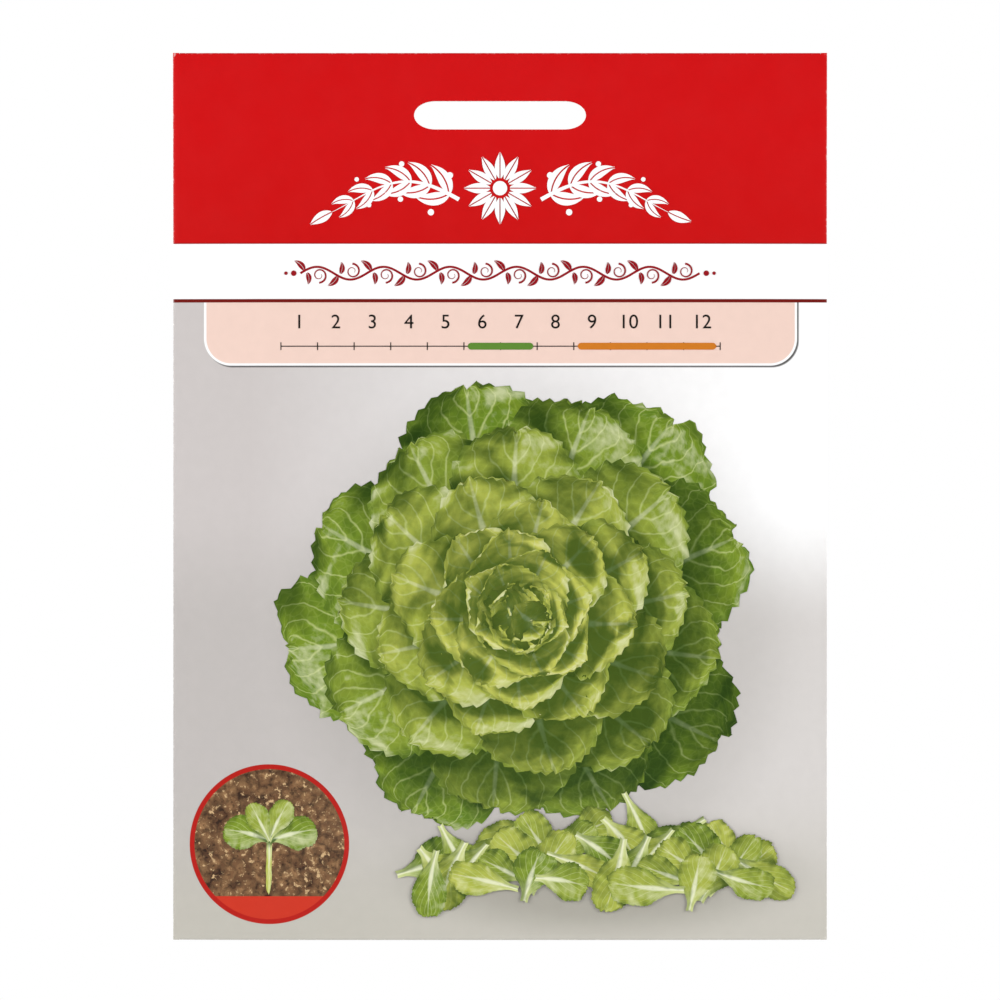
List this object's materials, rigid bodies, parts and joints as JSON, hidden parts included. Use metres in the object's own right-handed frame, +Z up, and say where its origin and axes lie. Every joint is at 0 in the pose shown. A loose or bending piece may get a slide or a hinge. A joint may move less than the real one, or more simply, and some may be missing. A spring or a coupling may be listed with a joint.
{
  "type": "seed packet",
  "caption": "Flat paper packet with a hang slot through its header, glued flaps at the back, and a sealed foil sachet of seed inside.",
  "frame": {"origin": "middle of the hang slot's upper edge, at the middle of the header's thickness", "axes": "+Z up along the packet's height, -Y out of its printed front, +X to the right of someone who faces the front"},
  "size_m": [0.118, 0.004, 0.16],
  "materials": {
    "paper": "coated white paper, printed in colour on its outside, silk gloss",
    "glue": "dried cold adhesive, thin and slightly yellow",
    "foil": "aluminium and paper laminate, satin",
    "seed": "dry husk, matt"
  },
  "bodies": {
    "root": {"bottom_flap_glue": "glue", "packet_sheet": "paper", "sachet_back_foil": "foil", "sachet_front_foil": "foil", "seam_glue": "glue", "seed_01": "seed", "seed_02": "seed", "seed_03": "seed", "seed_04": "seed", "seed_05": "seed", "seed_06": "seed", "seed_07": "seed", "seed_08": "seed", "seed_09": "seed", "seed_10": "seed", "seed_11": "seed", "seed_12": "seed", "seed_13": "seed", "seed_14": "seed", "seed_15": "seed", "seed_16": "seed", "seed_17": "seed", "seed_18": "seed", "seed_19": "seed", "seed_20": "seed", "seed_21": "seed", "seed_22": "seed", "seed_23": "seed", "seed_24": "seed", "seed_25": "seed", "seed_26": "seed", "seed_27": "seed", "seed_28": "seed", "seed_29": "seed", "seed_30": "seed", "seed_31": "seed", "seed_32": "seed", "seed_33": "seed", "seed_34": "seed", "seed_35": "seed", "seed_36": "seed", "seed_37": "seed", "seed_38": "seed", "seed_39": "seed", "seed_40": "seed", "seed_41": "seed", "seed_42": "seed", "seed_43": "seed", "seed_44": "seed", "top_flap_glue": "glue"}
  },
  "joints": []
}
